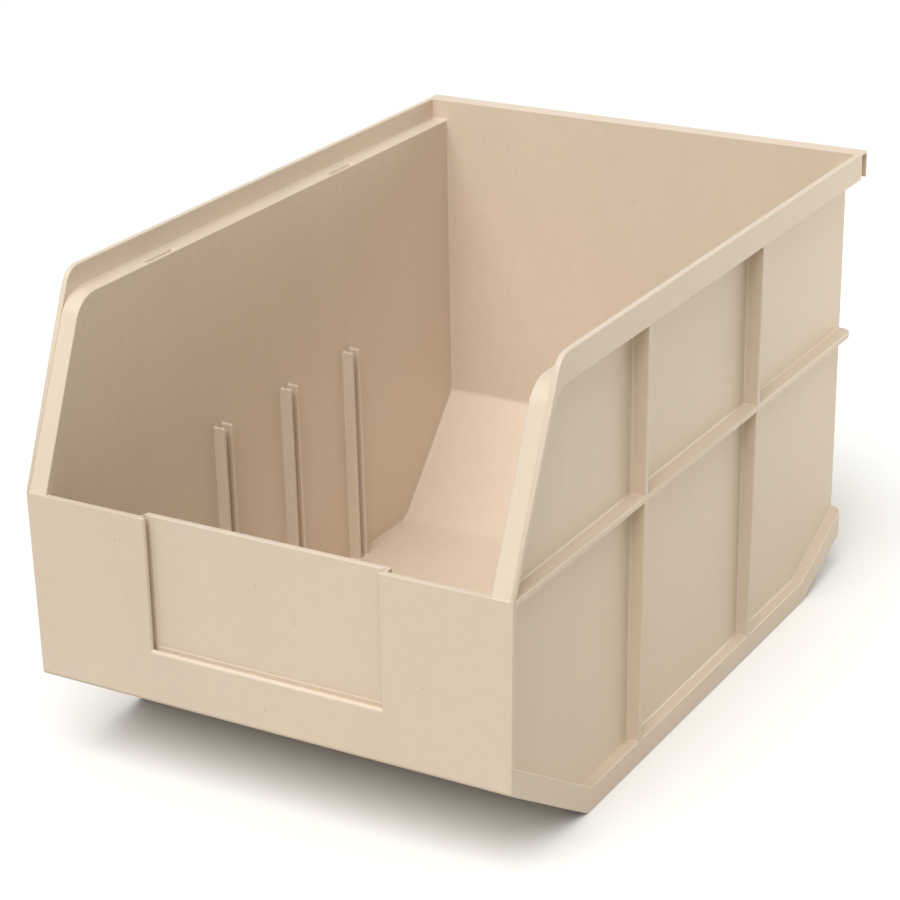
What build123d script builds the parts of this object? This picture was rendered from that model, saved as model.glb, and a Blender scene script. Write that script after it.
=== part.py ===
from build123d import *
import os
from math import atan2, cos, radians, sin, tan

# A stackable shelf bin. On the bench it is one plastic moulding.
# It is drawn here as the walls, rims, rails and ribs that it consists of, which meet face to face.
# Millimetres. X is the width, +Y runs to the back, Z is up, the origin is under the middle of the base.

# Overall size
length = 304.8
width = 203.2
height = 186.0
front = -length / 2

# Thickness of the plastic
wall = 2.6
lip_thickness = 2.3

# Hanging lip, an upside-down channel behind the back wall
hang_channel = 4.2
hang_flange = 1.2
back = front + length - hang_flange - hang_channel

# Stacking rim. The ledge lies lower than the lip outside it.
rim_width = 9.2
lip_height = 9.0
ledge_top = height - lip_height
lip_inner_half = width / 2 - lip_thickness
lip_corner = 9.0
ledge_corner = 13.0
bead = 0.4

# Half widths. The sides lean out towards the top, so that the bin leaves its mould and stacks.
stack_clearance = 0.4
inner_half = width / 2 - rim_width
panel_half = inner_half + wall
base_half = lip_inner_half - stack_clearance
inner_draft = tan(radians(0.45))
panel_draft = tan(radians(0.26))

# Base outline, seen from the side
front_bottom = 36.8
front_run = 58.5
rear_run = 41.0
rear_rise = 17.5
front_foot = front + front_run
rear_foot = back - rear_run
front_angle = atan2(front_bottom, front_run)
rear_angle = atan2(rear_rise, rear_run)

# Sloped front rim. Its plate meets the front wall's inner top edge.
front_top = 109.6
slope_run = 33.2
slope_angle = atan2(height - front_top, slope_run)
rim_thickness = wall * sin(slope_angle)
rim_bottom = ledge_top - rim_thickness

# Slope inside the bin, from the floor up to the back wall
ramp_run = 48.5
ramp_foot = back - ramp_run
ramp_top = 50.0
ramp_radius = 10.0
front_radius = 8.0

# Base rails and outer ribs
rail_depth = 9.6
rail_skin = 2.0
rail_end = 9.0
rail_end_radius = 4.0
rib_spacing = 99.8
rib_starts = (front + rib_spacing, front + 2 * rib_spacing)
rib_thickness = 2.6
rib_end_radius = 5.0
level_rib_bottom = front_top - rib_thickness

# Label recess in the front wall
label_half = 48.3
label_bottom = 57.5
label_depth = 3.7
edge_radius = 1.2
corner_radius = 1.0

# Divider guides
guide_offset = 107.0
guide_spacing = 48.3
guide_starts = [front + guide_offset + row * guide_spacing for row in range(3)]
guide_pitch = 5.4
guide_thickness = 1.8
guide_reach = 4.6
guide_top = 98.5

# Pockets in the ledges
pocket_offset = 73.0
pocket_spacing = 129.0
pocket_starts = (front + pocket_offset, front + pocket_offset + pocket_spacing)
pocket_length = 18.0
pocket_width = 2.3
pocket_depth = 1.4
pocket_inset = 0.9

corner_min = (Align.MIN, Align.MIN)
middle_min = (Align.CENTER, Align.MIN)


def inner_at(z):
    """Half width between the side walls, at a height."""
    return inner_half - inner_draft * (ledge_top - z)


def panel_at(z):
    """Half width over the side panels, at a height."""
    return panel_half - panel_draft * (ledge_top - z)


def outer_at(z):
    """Half width over rims, ribs and rails, at a height."""
    return min(width / 2, base_half + (width / 2 - base_half) * z / rim_bottom)


def skirt_at(z):
    """Half width inside the outer skins of the base rails, at a height."""
    return outer_at(z) - rail_skin


def guide_at(z):
    """Half width between the tips of the divider guides, at a height."""
    return inner_at(z) - guide_reach


def back_inner_at(z):
    """Inner face of the back wall, at a height."""
    return back - wall - inner_draft * (height - z)


def slope_at(z, inset=0.0):
    """Sloped front rim, at a height, or a plane that lies this far inside it."""
    return front + (z - front_top) / tan(slope_angle) + inset / sin(slope_angle)


def base_line(depth):
    """Base outline, or a line that lies this far inside it, from the front wall to the back."""
    start = front + wall
    return [
        (start, (front_foot - start) * tan(front_angle) + depth / cos(front_angle)),
        (front_foot + depth * tan(front_angle / 2), depth),
        (rear_foot - depth * tan(rear_angle / 2), depth),
        (back, (back - rear_foot) * tan(rear_angle) + depth / cos(rear_angle)),
    ]


def one_side(near, far, low, high):
    """Cross-section between two leaning planes on the right."""
    return [(near(low), low), (far(low), low), (far(high), high), (near(high), high)]


def both_sides(half, low, high):
    """Cross-section from a leaning plane on the left to the one on the right."""
    return [(-half(low), low), (half(low), low), (half(high), high), (-half(high), high)]


def keep_within(points):
    """Keeps only what lies inside this cross-section, over the whole length."""
    with BuildSketch(Plane.XZ) as section:
        Polygon(*points, align=None)
    extrude(section.sketch, amount=length, both=True, mode=Mode.INTERSECT)


def round_corner(sketch, point, radius):
    """Rounds the corner of a sketch that lies nearest to a point."""
    fillet(sketch.vertices().sort_by_distance((*point, 0))[0], radius)


# Side walls
rim_inner_corner = (slope_at(rim_bottom, rim_thickness), rim_bottom)
rim_inner_radius = ledge_corner - rim_thickness

with BuildPart() as right_side_wall:
    with BuildSketch(Plane.YZ) as profile:
        Polygon(
            *base_line(0),
            (back, rim_bottom),
            rim_inner_corner,
            (front + wall, front_top),
            align=None,
        )
        round_corner(profile, rim_inner_corner, rim_inner_radius)
    extrude(amount=width)
    keep_within(one_side(inner_at, panel_at, 0, rim_bottom))

# Floor, with the sloping plates in front of it and behind it
front_cut = front_foot + (front_radius + wall) * tan(front_angle / 2) + 1
ramp_angle = atan2(ramp_top - wall, back_inner_at(ramp_top) - ramp_foot)
ramp_cut = ramp_foot - ramp_radius * tan(ramp_angle / 2) - 1
ramp_bend = (ramp_foot + wall * tan(ramp_angle / 2), 0)
ramp_inner_end = (back_inner_at(ramp_top), ramp_top)
ramp_outer_end = (
    ramp_inner_end[0] + wall * sin(ramp_angle),
    ramp_top - wall * cos(ramp_angle),
)

with BuildPart() as floor_pan:
    with BuildSketch(Plane.YZ):
        with Locations((front_cut, 0)):
            Rectangle(ramp_cut - front_cut, wall, align=corner_min)
    extrude(amount=width, both=True)
    keep_within(both_sides(inner_at, 0, wall))

with BuildPart() as front_ramp:
    under, over = base_line(0)[:2], base_line(wall)[:2]
    with BuildSketch(Plane.YZ) as profile:
        Polygon(*under, (front_cut, 0), (front_cut, wall), *reversed(over), align=None)
        round_corner(profile, over[1], front_radius)
    extrude(amount=width, both=True)
    keep_within(both_sides(inner_at, 0, front_top))

with BuildPart() as rear_ramp:
    with BuildSketch(Plane.YZ) as profile:
        Polygon(
            (ramp_cut, 0),
            ramp_bend,
            ramp_outer_end,
            ramp_inner_end,
            (ramp_foot, wall),
            (ramp_cut, wall),
            align=None,
        )
        round_corner(profile, (ramp_foot, wall), ramp_radius)
        round_corner(profile, ramp_bend, ramp_radius + wall)
    extrude(amount=width, both=True)
    keep_within(both_sides(inner_at, 0, front_top))

# Front wall, with a label recess that is open at the top
with BuildPart() as front_wall:
    with BuildSketch(Plane.YZ):
        Polygon(
            (front, front_bottom),
            base_line(0)[0],
            (front + wall, front_top),
            (front, front_top),
            align=None,
        )
    extrude(amount=width, both=True)
    keep_within(both_sides(outer_at, 0, front_top))
    with BuildSketch(Plane.XY.offset(label_bottom - wall)):
        with Locations((0, front)):
            Rectangle(2 * (label_half + wall), label_depth + wall, align=middle_min)
    extrude(amount=front_top - label_bottom + wall)
    with BuildSketch(Plane.XY.offset(label_bottom)):
        with Locations((0, front)):
            Rectangle(2 * label_half, label_depth, align=middle_min)
    extrude(amount=front_top - label_bottom, mode=Mode.SUBTRACT)
    for depth, radius in (
        (0, edge_radius),
        (label_depth, corner_radius),
        (wall, corner_radius),
        (wall + label_depth, edge_radius),
    ):
        reach = label_half + wall + 1
        plane_edges = front_wall.edges().filter_by_position(Axis.Y, front + depth, front + depth)
        plane_edges = plane_edges.filter_by_position(Axis.X, -reach, reach)
        plane_edges = plane_edges.filter_by_position(Axis.Z, label_bottom - wall - 1, front_top)
        fillet(plane_edges.filter_by(lambda edge: edge.center().Z < front_top - 0.1), radius)

# Back wall
with BuildPart() as back_wall:
    with BuildSketch(Plane.YZ):
        Polygon(
            ramp_inner_end,
            ramp_outer_end,
            (back, (back - ramp_bend[0]) * tan(ramp_angle)),
            (back, height),
            (back_inner_at(height), height),
            align=None,
        )
    extrude(amount=width, both=True)
    low_side = both_sides(inner_at, 0, rim_bottom)
    keep_within(
        [
            *low_side[:3],
            (lip_inner_half, rim_bottom),
            (lip_inner_half, height),
            (-lip_inner_half, height),
            (-lip_inner_half, rim_bottom),
            low_side[3],
        ]
    )

# Hanging lip along the top of the back wall
with BuildPart() as rear_hang_lip:
    with BuildSketch(Plane.YZ) as profile:
        Polygon(
            (back, height),
            (back, height - hang_flange),
            (back + hang_channel, height - hang_flange),
            (back + hang_channel, rim_bottom),
            (front + length, rim_bottom),
            (front + length, height),
            align=None,
        )
        round_corner(profile, (front + length, height), hang_flange)
    extrude(amount=width / 2, both=True)

# Stacking rims. A ledge carries the next bin, a lip outside it keeps that bin in place,
# and both run down the front slope, where the lip is only a low bead.
with BuildPart() as right_stacking_rim:
    with BuildSketch(Plane.YZ.offset(lip_inner_half)) as profile:
        Polygon(
            (front, front_top),
            (front + wall, front_top),
            rim_inner_corner,
            (back, rim_bottom),
            (back, height),
            (slope_at(height), height),
            align=None,
        )
        round_corner(profile, rim_inner_corner, rim_inner_radius)
        round_corner(profile, (slope_at(height), height), lip_corner)
    extrude(amount=lip_thickness)
    with BuildSketch(Plane.YZ) as profile:
        Polygon(
            (slope_at(front_top, bead), front_top),
            (front + wall, front_top),
            rim_inner_corner,
            (back_inner_at(rim_bottom), rim_bottom),
            (back_inner_at(ledge_top), ledge_top),
            (slope_at(ledge_top, bead), ledge_top),
            align=None,
        )
        round_corner(profile, rim_inner_corner, rim_inner_radius)
        round_corner(profile, (slope_at(ledge_top, bead), ledge_top), ledge_corner)
    extrude(amount=lip_inner_half)
    keep_within(
        [
            (inner_at(0), 0),
            (outer_at(0), 0),
            (width / 2, rim_bottom),
            (width / 2, height),
            (inner_at(height), height),
        ]
    )
    with BuildSketch(Plane.XY.offset(ledge_top - pocket_depth)):
        with Locations(*[(inner_half + pocket_inset, start) for start in pocket_starts]):
            Rectangle(pocket_width, pocket_length, align=corner_min)
    extrude(amount=pocket_depth, mode=Mode.SUBTRACT)

# Base rails, hollow from below. Each stands on the ledge of the bin underneath.
with BuildPart() as rail_hollow:
    with BuildSketch(Plane.YZ):
        Polygon(*base_line(-wall), *reversed(base_line(rail_depth - rail_skin)), align=None)
    extrude(amount=width)
    keep_within(one_side(panel_at, skirt_at, -rail_depth, front_top))
    with BuildSketch(Plane.XY.offset(-rail_depth)):
        with Locations((0, front)):
            Rectangle(width, back - rail_end - front, align=corner_min)
    extrude(amount=height, mode=Mode.INTERSECT)

with BuildPart() as right_base_rail:
    with BuildSketch(Plane.YZ):
        Polygon(*base_line(0), *reversed(base_line(rail_depth)), align=None)
    extrude(amount=width)
    keep_within(one_side(panel_at, outer_at, 0, front_top))
    fillet(right_base_rail.edges().group_by(Axis.Y)[-1].sort_by(Axis.X)[-1], rail_end_radius)
    add(rail_hollow.part, mode=Mode.SUBTRACT)

# Outer ribs: a level one along each side, and two upright ones that it crosses
def upright_rib(start):
    """One upright rib on the right, above and below the level rib."""
    with BuildPart() as rib:
        with BuildSketch(Plane.YZ) as profile:
            with Locations((start, rail_depth)):
                Rectangle(rib_thickness, level_rib_bottom - rail_depth, align=corner_min)
            with Locations((start, front_top)):
                Rectangle(rib_thickness, rim_bottom - front_top, align=corner_min)
        extrude(profile.sketch, amount=width)
        keep_within(one_side(panel_at, outer_at, 0, rim_bottom))
    return rib


right_front_rib, right_rear_rib = [upright_rib(start) for start in rib_starts]

with BuildPart() as right_level_rib:
    with BuildSketch(Plane.YZ):
        with Locations((front + wall, level_rib_bottom)):
            Rectangle(back - front - wall, rib_thickness, align=corner_min)
    extrude(amount=width)
    keep_within(one_side(panel_at, outer_at, 0, rim_bottom))
    fillet(right_level_rib.edges().group_by(Axis.Y)[-1].sort_by(Axis.X)[-1], rib_end_radius)

# Divider guides: three pairs of thin ribs on each side, with a slot between the two of a pair
with BuildPart() as right_divider_guides:
    ribs = [(start + shift, wall) for start in guide_starts for shift in (0, guide_pitch)]
    with BuildSketch(Plane.YZ):
        with Locations(*ribs):
            Rectangle(guide_thickness, guide_top - wall, align=corner_min)
    extrude(amount=width)
    with BuildSketch(Plane.XZ) as profile:
        Polygon(*one_side(guide_at, inner_at, wall, guide_top), align=None)
        round_corner(profile, (guide_at(guide_top), guide_top), corner_radius)
    extrude(amount=length, both=True, mode=Mode.INTERSECT)

nodes = {
    "floor_pan": floor_pan,
    "front_ramp": front_ramp,
    "rear_ramp": rear_ramp,
    "front_wall": front_wall,
    "back_wall": back_wall,
    "rear_hang_lip": rear_hang_lip,
    "right_side_wall": right_side_wall,
    "right_stacking_rim": right_stacking_rim,
    "right_base_rail": right_base_rail,
    "right_front_rib": right_front_rib,
    "right_rear_rib": right_rear_rib,
    "right_level_rib": right_level_rib,
    "right_divider_guides": right_divider_guides,
}

# The left side mirrors the right side
for name in [name for name in nodes if name.startswith("right_")]:
    with BuildPart() as mirrored:
        mirror(nodes[name].part, about=Plane.YZ)
    nodes[name.replace("right_", "left_")] = mirrored

os.makedirs("parts", exist_ok=True)
for name, node in nodes.items():
    node.part.label = name
    export_step(node.part, f"parts/{name}.step")
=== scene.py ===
from math import cos, radians, sin, tan

import bmesh
import bpy
import numpy as np
from mathutils import Matrix, Vector
from mathutils.bvhtree import BVHTree
from mathutils.kdtree import KDTree


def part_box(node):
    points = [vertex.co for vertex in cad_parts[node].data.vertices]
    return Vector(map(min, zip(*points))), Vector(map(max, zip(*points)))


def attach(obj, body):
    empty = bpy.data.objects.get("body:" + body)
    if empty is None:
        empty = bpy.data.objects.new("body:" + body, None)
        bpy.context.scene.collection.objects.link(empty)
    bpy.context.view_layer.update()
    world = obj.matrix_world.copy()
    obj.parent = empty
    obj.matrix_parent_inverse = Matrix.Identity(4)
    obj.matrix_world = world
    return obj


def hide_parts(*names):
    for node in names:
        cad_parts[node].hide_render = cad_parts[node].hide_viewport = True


# A stackable shelf bin, moulded in one piece from ivory plastic.
# Metres. X is the width, +Y runs to the back, Z is up.
MM = 0.001

# Joining the solids
PUSH = 0.06 * MM  # how far faces in contact go into each other
FURTHEST = 3 * PUSH  # the most that this moves a corner
PARALLEL = 0.06  # planes closer to parallel than this count as one at a corner
CONTACT = 0.04 * MM  # the widest gap between faces in contact
NEAR_CORNER = 0.93  # how far out towards its corners a triangle is tested for contact
FACING = -0.97  # the product of the normals of two faces in contact is below this
SAME_PLANE = 0.999998  # and that of two triangles in one plane is above this
FLAT = 0.9995  # or above this, where a small radius may count as flat
MERGE = 0.035 * MM  # the reach of the first weld
WELD = 0.15 * MM  # the reach of the welds into corners and edges
SLIVER = 0.004 * MM  # anything thinner is cleared away
TOUCHING = 1e-7  # points this near each other are the same
ON_MIDDLE = 1e-6  # points this near the plane x = 0 lie on it
FOLDED_BACK = radians(165)  # an edge bent more than this has a flap beside it
LARGEST_FLAP = 1 * MM * MM
STRIP_BEND = radians(3)  # the strips along a small radius are bent less than this
STRIP_WIDTH = 0.4 * MM  # and narrower than this
LEVEL = 0.05 * MM  # points this near a height lie at it
SEAM_STEP = 2 * MM  # how far the seams below the rims move down
RIM_CORNERS = 8  # a rim's outer face has more corners than this

# Rounding the edges
CONVEX = 0.45 * MM
CONCAVE = 1.1 * MM
GUIDE_ROOT = 0.5 * CONCAVE
FRONT_EDGE = 1.0 * MM
RECESS_CORNER = 0.3 * MM
CHANNEL_CORNER = 1.8 * MM
WIDEST = 2 * MM
NARROWEST = 0.02 * MM
ROUNDED_ANGLES = (radians(26), radians(150))
LEAST_CORNER = 0.05  # the least angle that a corner counts with, in radians
END_SHARE = 0.8  # the most of an edge's length that the roundings at its ends take up
FACE_SHARE = 0.9  # the most of the way to the next edge that a rounding reaches
SHARED_FACE = 0.45  # and to one that is rounded too
PASSES = 6  # how often the widths are evened out
SLOPE = 0.125  # the most that a width changes then, as a share of two edges' lengths
STRAY = 0.45 * MM  # a rounded corner further than this from the sharp mesh is a fault
FOLD = radians(100)  # and so is an edge that is bent more than this
TURNS = 8  # the most tries at a mesh without faults
NEAR_FAULT = 0.9 * MM  # edges this near a fault get narrower roundings for the next try
LONG = 30 * MM
NARROWER, NARROWER_IF_LONG = 0.6, 0.85
SMOOTH = radians(52)  # edges bent less than this are shaded smooth

# Places that tell the moulding's edges apart, in millimetres
FRONT_FACE_Y, FRONT_SIDE_X, FRONT_FOOT_Z = -152.3, 100.5, 38
RECESS_Y, RECESS_Z = -147.5, 50
CHANNEL_Y, CHANNEL_Z = 146.9, 184
GUIDE_X = 92.6
FLUSH_X, RIM_X, RIM_TOP = 100, 101, 180
WEDGE_Y, WEDGE_Z = (89, 107), 0.05
HOLLOW_X, HOLLOW_Y, HOLLOW_Z = (93.9, 98), -91, 46

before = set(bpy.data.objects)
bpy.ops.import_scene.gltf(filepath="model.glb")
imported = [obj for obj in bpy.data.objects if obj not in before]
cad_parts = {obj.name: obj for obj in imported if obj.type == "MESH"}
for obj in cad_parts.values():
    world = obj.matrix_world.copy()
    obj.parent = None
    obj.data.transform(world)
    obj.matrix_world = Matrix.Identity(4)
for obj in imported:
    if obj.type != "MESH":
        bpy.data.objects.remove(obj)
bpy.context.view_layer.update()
scene = bpy.context.scene
names = sorted(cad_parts)

# The moulding. The real bin is one shell with no joints to see, so the CAD solids are joined
# into one skin, its edges are rounded, and it is cut back into one piece for each solid. The
# solids meet face to face, so the faces in contact are first pushed a hair into each other.
# The bin is symmetrical: the right half is made and mirrored.


def solid(name):
    """The triangles of a CAD solid."""
    bm = bmesh.new()
    bm.from_mesh(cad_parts[name].data)
    bmesh.ops.remove_doubles(bm, verts=bm.verts, dist=TOUCHING)
    bmesh.ops.triangulate(bm, faces=bm.faces)
    bm.normal_update()
    return bm


solids = {name: solid(name) for name in names}
trees = {name: BVHTree.FromBMesh(bm) for name, bm in solids.items()}
corners = [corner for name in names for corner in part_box(name)]
limits = [[pick(corner[axis] for corner in corners) for axis in range(3)] for pick in (min, max)]

# One tag for each node, by which every face of the skin keeps the node that it comes from
tags = [bpy.data.materials.new("tag_" + name) for name in names]


def inside(point):
    """The point, kept in the box round the CAD solids."""
    return Vector([max(low, min(high, value)) for low, high, value in zip(*limits, point)])


def touches(name, face):
    """Whether a whole triangle lies against other solids."""
    middle = face.calc_center_median()
    for point in [middle] + [middle.lerp(vert.co, NEAR_CORNER) for vert in face.verts]:
        for other, tree in trees.items():
            if other != name:
                place, normal, _, _ = tree.find_nearest(point, CONTACT)
                if place is not None and normal.dot(face.normal) < FACING:
                    break
        else:
            return False
    return True


def contacts(name):
    """The triangles of the flat faces that lie wholly against other solids."""
    left = set(solids[name].faces)
    found = set()
    while left:
        group = [left.pop()]
        for face in group:
            for edge in face.edges:
                for other in edge.link_faces:
                    if other in left and other.normal.dot(face.normal) > SAME_PLANE:
                        left.discard(other)
                        group.append(other)
        if all(touches(name, face) for face in group):
            found.update(group)
    return found


def copy_of(name):
    """A copy of a CAD solid with its contact faces pushed outwards, and the others kept."""
    bm = solids[name]
    moved = contacts(name)
    moves = {}
    for vert in bm.verts:
        if any(face in moved for face in vert.link_faces):
            planes = np.array([loop.face.normal for loop in vert.link_loops])
            sizes = np.array([loop.calc_angle() for loop in vert.link_loops])
            want = np.array([PUSH * (loop.face in moved) for loop in vert.link_loops])
            move = np.linalg.lstsq(planes * sizes[:, None], want * sizes, rcond=PARALLEL)[0]
            moves[vert] = Vector(move * min(1.0, FURTHEST / max(np.linalg.norm(move), 1e-12)))
    for vert, move in moves.items():
        vert.co = inside(vert.co + move)
    for face in bm.faces:
        face.material_index = names.index(name)
    mesh = bpy.data.meshes.new("copy_" + name)
    for tag in tags:
        mesh.materials.append(tag)
    bm.to_mesh(mesh)
    piece = bpy.data.objects.new("copy_" + name, mesh)
    scene.collection.objects.link(piece)
    return piece


def baked(piece):
    """The piece's mesh with its modifiers applied."""
    graph = bpy.context.evaluated_depsgraph_get()
    mesh = bpy.data.meshes.new_from_object(piece.evaluated_get(graph))
    piece.modifiers.clear()
    return mesh


def combine(piece, other, operation):
    """Join another object to a piece, or cut it out of the piece, and remove it."""
    boolean = piece.modifiers.new("boolean", "BOOLEAN")
    boolean.operation = operation
    boolean.solver = "MANIFOLD"
    boolean.object = other
    piece.data = baked(piece)
    bpy.data.objects.remove(other)


def clean(bm):
    """Clear away what welding leaves: slivers, pairs of back-to-back faces, loose edges."""
    bmesh.ops.dissolve_degenerate(bm, dist=SLIVER, edges=bm.edges)
    bm.normal_update()
    groups = {}
    for face in bm.faces:
        groups.setdefault(frozenset(face.verts), []).append(face)
    doomed = []
    for group in groups.values():
        while len(group) > 1:
            face = group.pop()
            doomed.append(face)
            twin = next((other for other in group if other.normal.dot(face.normal) < 0), None)
            if twin:
                group.remove(twin)
                doomed.append(twin)
    bmesh.ops.delete(bm, geom=doomed, context="FACES_ONLY")
    bmesh.ops.delete(bm, geom=[e for e in bm.edges if not e.link_faces], context="EDGES")
    bmesh.ops.delete(bm, geom=[v for v in bm.verts if not v.link_edges], context="VERTS")


def rank(vert):
    """1 on a flat face, 2 along an edge, 3 at a corner."""
    seen = []
    for face in vert.link_faces:
        if all(face.normal.dot(other) < FLAT for other in seen):
            seen.append(face.normal.copy())
    return min(len(seen), 3)


def weld(bm, edges_too):
    """Weld the stray points beside a corner into it, and if asked those beside an edge."""
    ranks = {vert: rank(vert) for vert in bm.verts}
    bm.verts.ensure_lookup_table()
    tree = KDTree(len(bm.verts))
    for index, vert in enumerate(bm.verts):
        tree.insert(vert.co, index)
    tree.balance()
    goals = {}
    for vert in bm.verts:
        if ranks[vert] == 3 or abs(vert.co.x) < ON_MIDDLE or vert in goals.values():
            continue
        near = []
        for _, index, distance in tree.find_range(vert.co, WELD):
            other = bm.verts[index]
            if other is vert or other in goals:
                continue
            if ranks[other] > ranks[vert] or (edges_too and ranks[other] == ranks[vert]):
                near.append((ranks[other], -distance, index))
        if near:
            goals[vert] = bm.verts[max(near)[2]]
    bmesh.ops.weld_verts(bm, targetmap=goals)
    clean(bm)


def mirror(bm):
    """Add the left half to the right half."""
    twin = bm.copy()
    for vert in twin.verts:
        vert.co.x *= -1
    bmesh.ops.reverse_faces(twin, faces=twin.faces)
    for face in twin.faces:
        name = names[face.material_index].replace("right_", "left_")
        face.material_index = names.index(name)
    half = bpy.data.meshes.new("half")
    twin.to_mesh(half)
    twin.free()
    bm.from_mesh(half)
    middle = [vert for vert in bm.verts if abs(vert.co.x) < ON_MIDDLE]
    bmesh.ops.remove_doubles(bm, verts=middle, dist=2 * ON_MIDDLE)


def unfold(bm):
    """Weld away each small flap that lies back on the face beside it."""
    for _ in range(20):
        bm.normal_update()
        for edge in bm.edges:
            if len(edge.link_faces) == 2 and edge.calc_face_angle() > FOLDED_BACK:
                flap = min(edge.link_faces, key=lambda face: face.calc_area())
                if flap.calc_area() < LARGEST_FLAP and len(flap.verts) == 3:
                    break
        else:
            return
        base = max(flap.edges, key=lambda edge: edge.calc_length())
        tip = next(vert for vert in flap.verts if vert not in base.verts)
        goal = min(base.verts, key=lambda vert: (vert.co - tip.co).length)
        bmesh.ops.weld_verts(bm, targetmap={tip: goal})
        clean(bm)


def join_strips(bm):
    """Join the narrow triangles along small radii in pairs."""
    edges = []
    for edge in bm.edges:
        a, b = edge.link_faces
        if a.material_index == b.material_index and len(a.verts) <= 4 and len(b.verts) <= 4:
            widths = [
                2 * face.calc_area() / max(side.calc_length() for side in face.edges)
                for face in (a, b)
            ]
            if 0 < edge.calc_face_angle() < STRIP_BEND and min(widths) < STRIP_WIDTH:
                edges.append(edge)
    bmesh.ops.dissolve_edges(bm, edges=edges, use_verts=False)


def lower_seams(bm):
    """Move the seams below the rims' outer faces clear of the edge that is to be rounded.

    The tops of the faces that lie flush below a rim go to the rim's own outer face.
    """
    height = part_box("right_front_rib")[1].z
    flush = [
        face
        for face in bm.faces
        if abs(face.normal.x) > FLAT
        and abs(face.calc_center_median().x) > FLUSH_X * MM
        and abs(max(vert.co.z for vert in face.verts) - height) < LEVEL
    ]
    around = {part for face in flush for part in list(face.verts) + list(face.edges)}
    bmesh.ops.bisect_plane(
        bm,
        geom=flush + list(around),
        dist=TOUCHING,
        plane_co=(0, 0, height - SEAM_STEP),
        plane_no=(0, 0, 1),
    )
    seams = [
        edge
        for edge in bm.edges
        if all(abs(vert.co.z - height) < LEVEL for vert in edge.verts)
        and all(abs(face.normal.x) > FLAT for face in edge.link_faces)
    ]
    bmesh.ops.dissolve_edges(bm, edges=seams, use_verts=False)
    for face in bm.faces:
        x = face.calc_center_median().x
        top = max(vert.co.z for vert in face.verts)
        outer = abs(face.normal.x) > FLAT and abs(x) > RIM_X * MM
        if outer and top > RIM_TOP * MM and len(face.verts) > RIM_CORNERS:
            side = "right_" if x > 0 else "left_"
            face.material_index = names.index(side + "stacking_rim")


copies = [copy_of(name) for name in names if not name.startswith("left_")]
skin = copies[0]
for other in copies[1:]:
    combine(skin, other, "UNION")

bm = bmesh.new()
bm.from_mesh(skin.data)
bmesh.ops.bisect_plane(
    bm,
    geom=list(bm.verts) + list(bm.edges) + list(bm.faces),
    dist=TOUCHING,
    plane_co=(0, 0, 0),
    plane_no=(1, 0, 0),
    clear_inner=True,
)
bmesh.ops.triangulate(bm, faces=bm.faces)
bmesh.ops.remove_doubles(bm, verts=bm.verts, dist=MERGE)
clean(bm)
weld(bm, edges_too=False)
weld(bm, edges_too=True)
mirror(bm)
bmesh.ops.dissolve_limit(
    bm, angle_limit=radians(0.3), verts=bm.verts, edges=bm.edges, delimit={"MATERIAL"}
)
unfold(bm)
join_strips(bm)
lower_seams(bm)
bm.normal_update()
layer = bm.edges.layers.float.new("bevel_weight_edge")
sharp = BVHTree.FromBMesh(bm)


def room(loop, chosen):
    """The widest rounding that the face beside an edge has room for."""
    start, end = loop.vert.co, loop.link_loop_next.vert.co
    along = end - start
    length = along.length
    along.normalize()
    inward = loop.face.normal.cross(along)
    best = WIDEST

    # At both ends the edges beside it cut the rounding short
    short = 0.0
    for corner, beside in (
        (loop, loop.link_loop_prev.edge),
        (loop.link_loop_next, loop.link_loop_next.edge),
    ):
        if corner.is_convex:
            angle = max(corner.calc_angle(), LEAST_CORNER)
            short += 1 / tan(angle / 2) if beside in chosen else max(0.0, 1 / tan(angle))
    if short > 1e-6:
        best = min(best, END_SHARE * length / short)

    # Across the face it ends before the other edges, and halfway to one that is rounded too
    for other in loop.face.loops:
        if other in (loop, loop.link_loop_next, loop.link_loop_prev):
            continue
        a, b = other.vert.co - start, other.link_loop_next.vert.co - start
        ax, ay, bx, by = a.dot(along), a.dot(inward), b.dot(along), b.dot(inward)
        if max(ax, bx) < 0 or min(ax, bx) > length:
            continue
        if abs(bx - ax) > 1e-9:
            ends = (max(0, min(ax, bx)), min(length, max(ax, bx)))
            heights = [ay + (by - ay) * (x - ax) / (bx - ax) for x in ends]
        else:
            heights = [ay, by]
        if max(heights) > 1e-7:
            share = SHARED_FACE if other.edge in chosen else FACE_SHARE
            best = min(best, max(min(heights), 0) * share)
    return best


def hidden(p):
    """Whether a point, in millimetres, is in the front part of a rail's hollow."""
    return p.z < HOLLOW_Z and p.y < HOLLOW_Y and HOLLOW_X[0] < abs(p.x) < HOLLOW_X[1]


def wanted(edge):
    """The rounding that an edge should have."""
    a, b = (vert.co / MM for vert in edge.verts)
    low = Vector([min(p) for p in zip(a, b)])
    high = Vector([max(p) for p in zip(a, b)])
    # Underneath, a thin wedge is open where the rear ramp leaves the floor
    wedge = high.z < WEDGE_Z and low.y > WEDGE_Y[0] and high.y < WEDGE_Y[1]
    if wedge or hidden(a) or hidden(b):
        return 0.0
    if edge.calc_face_angle_signed() < 0:
        if low.z > CHANNEL_Z and low.y > CHANNEL_Y:
            return CHANNEL_CORNER
        if high.y < RECESS_Y and low.z > RECESS_Z:
            return RECESS_CORNER
        if max(abs(a.x), abs(b.x)) < GUIDE_X and low.y < 0:
            return GUIDE_ROOT
        return CONCAVE
    if high.y < FRONT_FACE_Y:
        if min(abs(a.x), abs(b.x)) > FRONT_SIDE_X or high.z < FRONT_FOOT_Z:
            return FRONT_EDGE
    return CONVEX


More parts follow.
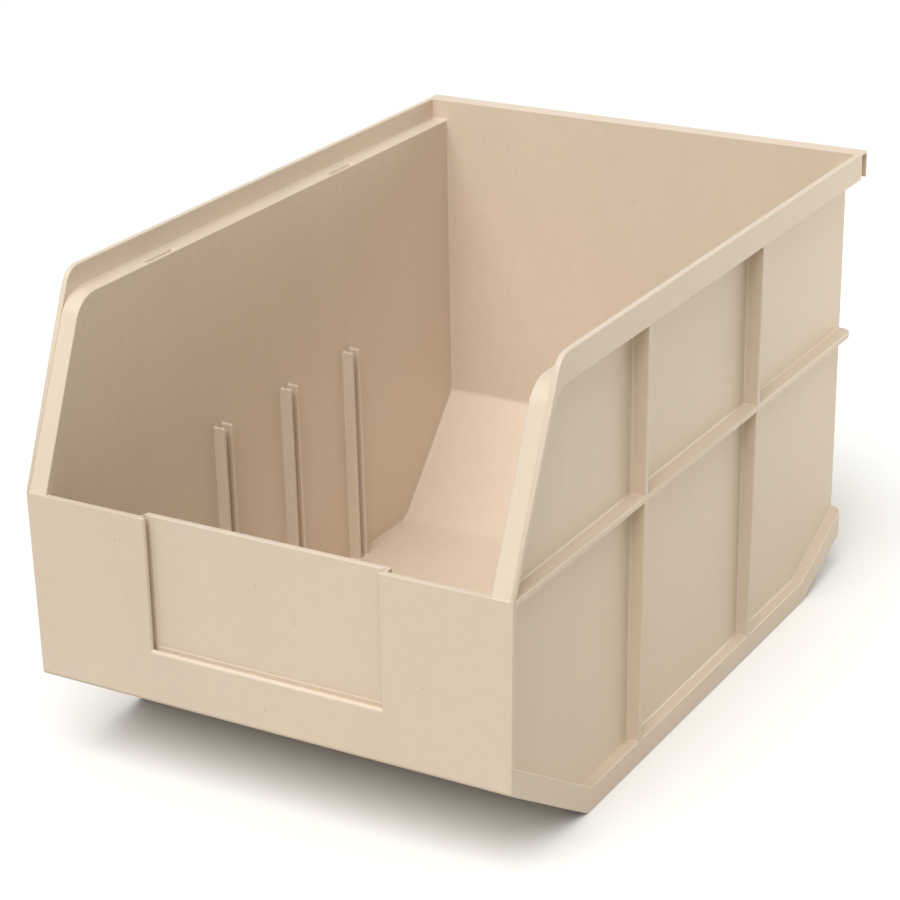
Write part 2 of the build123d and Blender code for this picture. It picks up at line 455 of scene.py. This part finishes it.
def rounded():
    """The skin's mesh with its edges rounded by their widths."""
    for edge in bm.edges:
        width = widths.get(edge, 0.0)
        edge[layer] = width / WIDEST if width > NARROWEST else 0.0
    bm.to_mesh(skin.data)
    bevel = skin.modifiers.new("edges", "BEVEL")
    bevel.limit_method = "WEIGHT"
    bevel.width = WIDEST
    bevel.segments = 2
    bevel.use_clamp_overlap = False
    bevel.miter_outer = "MITER_SHARP"
    return baked(skin)


def faults(mesh):
    """The places where a rounded mesh folds over or leaves the sharp one."""
    test = bmesh.new()
    test.from_mesh(mesh)
    test.normal_update()
    bad = [vert.co.copy() for vert in test.verts if sharp.find_nearest(vert.co)[3] > STRAY]
    for edge in test.edges:
        if edge.calc_face_angle(0) > FOLD and edge.calc_length() > NARROWEST:
            bad.append((edge.verts[0].co + edge.verts[1].co) / 2)
    test.free()
    return [point for point in bad if not hidden(point / MM)]


def gap(edge, point):
    """The distance from a point to an edge."""
    a, b = (vert.co for vert in edge.verts)
    along = b - a
    share = max(0.0, min(1.0, (point - a).dot(along) / along.length_squared))
    return (a + along * share - point).length


chosen = {}
for edge in bm.edges:
    if ROUNDED_ANGLES[0] < edge.calc_face_angle() < ROUNDED_ANGLES[1] and wanted(edge) > 0:
        chosen[edge] = wanted(edge)
widths = {
    edge: min([width] + [room(loop, chosen) for loop in edge.link_loops])
    for edge, width in chosen.items()
}

# A rounding changes slowly from one edge to the next
for _ in range(PASSES):
    for edge in widths:
        for vert in edge.verts:
            for other in vert.link_edges:
                if other is not edge and other in widths:
                    step = SLOPE * (other.calc_length() + edge.calc_length())
                    widths[edge] = min(widths[edge], widths[other] + step)

# Where the rounded mesh has faults, the roundings near them are made narrower
for _ in range(TURNS):
    mesh = rounded()
    bad = faults(mesh)
    if not bad:
        break
    near = {edge for edge in widths for point in bad if gap(edge, point) < NEAR_FAULT}
    for edge in near:
        widths[edge] *= NARROWER if edge.calc_length() < LONG else NARROWER_IF_LONG

bm.free()
for other in solids.values():
    other.free()
skin.data = mesh


def groove():
    """The U-shaped space behind the lips of the label recess, which holds a card's edges."""
    outer, inner, top, low, high = 49.9, 47.7, 112, 55.9, 58.1
    front, back = -151.0, -148.95
    outline = [(-outer, top), (-outer, low), (outer, low), (outer, top)]
    outline += [(inner, top), (inner, high), (-inner, high), (-inner, top)]
    count = len(outline)
    points = [(x * MM, y * MM, z * MM) for y in (front, back) for x, z in outline]
    ends = [list(range(count)), list(range(2 * count - 1, count - 1, -1))]
    walls = []
    for this in range(count):
        after = (this + 1) % count
        walls.append((this, this + count, after + count, after))
    mesh = bpy.data.meshes.new("groove")
    mesh.from_pydata(points, [], ends + walls)
    for tag in tags:
        mesh.materials.append(tag)
    node = names.index("front_wall")
    mesh.polygons.foreach_set("material_index", [node] * len(mesh.polygons))
    bm = bmesh.new()
    bm.from_mesh(mesh)
    bmesh.ops.recalc_face_normals(bm, faces=bm.faces)
    bm.to_mesh(mesh)
    bm.free()
    cutter = bpy.data.objects.new("groove", mesh)
    scene.collection.objects.link(cutter)
    return cutter


def shaded(piece):
    """The piece's mesh with each rounding shaded into the flat faces beside it."""
    bm = bmesh.new()
    bm.from_mesh(piece.data)
    for edge in bm.edges:
        edge.smooth = edge.calc_face_angle(0) < SMOOTH
    for face in bm.faces:
        face.smooth = True
    bm.to_mesh(piece.data)
    bm.free()
    weighted = piece.modifiers.new("shading", "WEIGHTED_NORMAL")
    weighted.keep_sharp = True
    weighted.weight = 80
    return baked(piece)


combine(skin, groove(), "DIFFERENCE")
for vert in skin.data.vertices:
    vert.co = inside(vert.co)
mesh = shaded(skin)
bpy.data.objects.remove(skin)

# The plastic
IVORY = (0.712, 0.602, 0.49, 1)
WARM_TINT = (1.0, 0.985, 0.955, 1)
SPECK = (0.16, 0.11, 0.07, 1)
RUBBED = (0.88, 0.82, 0.72, 1)


def plastic(name):
    """Satin polypropylene: faintly cloudy, with mould grain, a few dark specks and rubs."""
    material = bpy.data.materials.new(name)
    material.use_nodes = True
    tree = material.node_tree
    tree.nodes.clear()

    def node(kind, inputs=(), **settings):
        made = tree.nodes.new(kind)
        for key, value in settings.items():
            setattr(made, key, value)
        for key, value in dict(inputs).items():
            if isinstance(value, bpy.types.NodeSocket):
                tree.links.new(value, made.inputs[key])
            else:
                made.inputs[key].default_value = value
        return made

    def mapping(**inputs):
        return node("ShaderNodeMapping", {"Vector": place, **inputs}).outputs[0]

    def noise(scale, detail, vector):
        made = node("ShaderNodeTexNoise", {"Vector": vector, "Scale": scale, "Detail": detail})
        return made.outputs["Fac"]

    def remap(value, low, high, start, end):
        made = node(
            "ShaderNodeMapRange",
            {"Value": value, "From Min": low, "From Max": high, "To Min": start, "To Max": end},
        )
        return made.outputs[0]

    def math(operation, a, b):
        return node("ShaderNodeMath", {0: a, 1: b}, operation=operation).outputs[0]

    def mix(kind, factor, a, b):
        inputs = {0: factor, 6: a, 7: b}
        return node("ShaderNodeMix", inputs, data_type="RGBA", blend_type=kind).outputs[2]

    def bump(height, strength, distance, **more):
        inputs = {"Height": height, "Strength": strength, "Distance": distance}
        if relief:
            inputs["Normal"] = relief
        return node("ShaderNodeBump", inputs, **more).outputs[0]

    place = node("ShaderNodeTexCoord").outputs["Object"]
    clouds = noise(14, 3, mapping(Scale=(1, 1, 0.35)))
    mottle = noise(260, 2, place)

    # Colour
    tint = remap(clouds, 0.3, 0.7, 0.965, 1.03)
    tint = math("MULTIPLY", tint, remap(mottle, 0.3, 0.7, 0.985, 1.012))
    shade = node("ShaderNodeCombineColor", {0: tint, 1: tint, 2: tint}).outputs[0]
    base = mix("MULTIPLY", 1.0, IVORY, shade)
    warm = mix("MULTIPLY", remap(noise(9, 2, place), 0.35, 0.7, 0, 1), base, WARM_TINT)

    # Specks, in a few of the cells
    cells = node("ShaderNodeTexVoronoi", {"Vector": place, "Scale": 260}).outputs
    draw = node("ShaderNodeSeparateColor", {0: cells["Color"]}).outputs[0]
    few = math("GREATER_THAN", draw, 0.93)
    speck = math("MULTIPLY", remap(cells["Distance"], 0.06, 0.11, 1, 0), few)
    dotted = mix("MIX", math("MULTIPLY", speck, 0.45), warm, SPECK)

    # Rubs: short slanting scratches in patches, densest towards the floor
    height = node("ShaderNodeSeparateXYZ", {0: place}).outputs[2]
    low = remap(height, 0.002, 0.06, 1, 0.12)
    slant = mapping(Rotation=(0.2, 0.5, 0.3), Scale=(60, 60, 900))
    scratch = remap(noise(1, 2, slant), 0.66, 0.72, 0, 1)
    patch = remap(noise(30, 2, place), 0.5, 0.62, 0, 1)
    rub = math("MULTIPLY", math("MULTIPLY", scratch, patch), low)
    final = mix("MIX", math("MULTIPLY", rub, 0.22), dotted, RUBBED)

    # Gloss
    rough = remap(mottle, 0.3, 0.7, 0.39, 0.46)
    rough = math("ADD", rough, math("MULTIPLY", rub, 0.12))

    # Relief: the slight waviness of a cooled wall, mould grain and scratches
    relief = None
    relief = bump(noise(22, 1, place), 0.12, 0.0006)
    relief = bump(noise(2600, 1, place), 0.18, 0.00012)
    relief = bump(rub, 0.2, 0.00005, invert=True)

    shader = node(
        "ShaderNodeBsdfPrincipled",
        {"Base Color": final, "Roughness": rough, "Normal": relief, "IOR": 1.49},
    )
    node("ShaderNodeOutputMaterial", {"Surface": shader.outputs[0]})
    return material


# The skin is cut into one piece for each node, and keeps its shading across the cuts
ivory = plastic("ivory_plastic")
normals = np.zeros(len(mesh.loops) * 3, np.float32)
mesh.corner_normals.foreach_get("vector", normals)
normals = normals.reshape(-1, 3)
for index, name in enumerate(names):
    faces = [face for face in mesh.polygons if face.material_index == index]
    used = sorted({vertex for face in faces for vertex in face.vertices})
    number = {vertex: count for count, vertex in enumerate(used)}
    part = bpy.data.meshes.new("skin_" + name)
    part.from_pydata(
        [mesh.vertices[vertex].co for vertex in used],
        [],
        [[number[vertex] for vertex in face.vertices] for face in faces],
    )
    part.materials.append(ivory)
    part.polygons.foreach_set("use_smooth", [True] * len(part.polygons))
    part.normals_split_custom_set(
        [tuple(normals[corner]) for face in faces for corner in face.loop_indices]
    )
    piece = bpy.data.objects.new("skin_" + name, part)
    scene.collection.objects.link(piece)
    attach(piece, "root")
    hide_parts(name)

# Floor and background: white to the rays that show them, and duller to the rest
FLOOR_SIZE = 30
WHITE = (1, 1, 1, 1)
FLOOR_BOUNCE = (0.46, 0.425, 0.36, 1)
SKY = (1, 0.99, 0.93, 1)
SKY_STRENGTH = 0.42


def direct(nodes, links):
    """1 for the rays that show the background: the camera's, and those off gloss or in glass."""
    path = nodes.new("ShaderNodeLightPath")
    seen = path.outputs["Is Camera Ray"]
    for name in ("Is Glossy Ray", "Is Transmission Ray"):
        either = nodes.new("ShaderNodeMath")
        either.operation = "MAXIMUM"
        links.new(seen, either.inputs[0])
        links.new(path.outputs[name], either.inputs[1])
        seen = either.outputs[0]
    return seen


bpy.ops.mesh.primitive_plane_add(size=FLOOR_SIZE, location=(0, 0, 0))
floor = bpy.context.object
floor.name = "floor"
pale = bpy.data.materials.new("floor")
pale.use_nodes = True
nodes, links = pale.node_tree.nodes, pale.node_tree.links
tone = nodes.new("ShaderNodeMix")
tone.data_type = "RGBA"
tone.inputs[6].default_value = FLOOR_BOUNCE
tone.inputs[7].default_value = WHITE
links.new(direct(nodes, links), tone.inputs[0])
matt = nodes["Principled BSDF"]
links.new(tone.outputs[2], matt.inputs["Base Color"])
matt.inputs["Roughness"].default_value = 1.0
matt.inputs["Specular IOR Level"].default_value = 0.0
floor.data.materials.append(pale)

world = bpy.data.worlds.new("studio")
scene.world = world
world.use_nodes = True
nodes, links = world.node_tree.nodes, world.node_tree.links
sky = nodes["Background"]
sky.inputs["Color"].default_value = SKY
sky.inputs["Strength"].default_value = SKY_STRENGTH
backdrop = nodes.new("ShaderNodeBackground")
backdrop.inputs["Color"].default_value = WHITE
either = nodes.new("ShaderNodeMixShader")
links.new(direct(nodes, links), either.inputs[0])
links.new(sky.outputs[0], either.inputs[1])
links.new(backdrop.outputs[0], either.inputs[2])
links.new(either.outputs[0], nodes["World Output"].inputs[0])


def lamp(name, kind, place, target, **settings):
    """A lamp at a place, pointed at a target."""
    light = bpy.data.lights.new(name, kind)
    for key, value in settings.items():
        setattr(light, key, value)
    holder = bpy.data.objects.new(name, light)
    holder.location = place
    holder.rotation_euler = (Vector(target) - Vector(place)).to_track_quat("-Z", "Y").to_euler()
    scene.collection.objects.link(holder)


# Light: a very broad lamp from in front and above, and a weak warm one behind the right side
lamp("key", "SUN", (0.02, -0.58, 0.81), (0, 0, 0), energy=2.6, angle=radians(50))
lamp(
    "fill",
    "AREA",
    (0.55, 0.62, 0.24),
    (0.1, 0.08, 0.12),
    shape="RECTANGLE",
    size=0.8,
    size_y=0.34,
    energy=2.15,
    color=(1, 0.98, 0.92),
)

# Camera, at the photograph's viewing angle
eye = (0.47732, -0.84404, 0.48807)
turn, tilt, roll = radians(30.016), radians(22.333), radians(-1.024)
ahead = Vector((-sin(turn) * cos(tilt), cos(turn) * cos(tilt), -sin(tilt)))
side = ahead.cross(Vector((0, 0, 1))).normalized()
up = side.cross(ahead)
right = cos(roll) * side + sin(roll) * up
top = -sin(roll) * side + cos(roll) * up
facing = Matrix((right, top, -ahead)).transposed().to_4x4()
lens = bpy.data.cameras.new("camera")
lens.lens = 106.23
lens.sensor_width = 36
lens.clip_end = 50
camera = bpy.data.objects.new("camera", lens)
camera.matrix_world = Matrix.Translation(eye) @ facing
scene.collection.objects.link(camera)
scene.camera = camera
scene.view_settings.view_transform = "Standard"
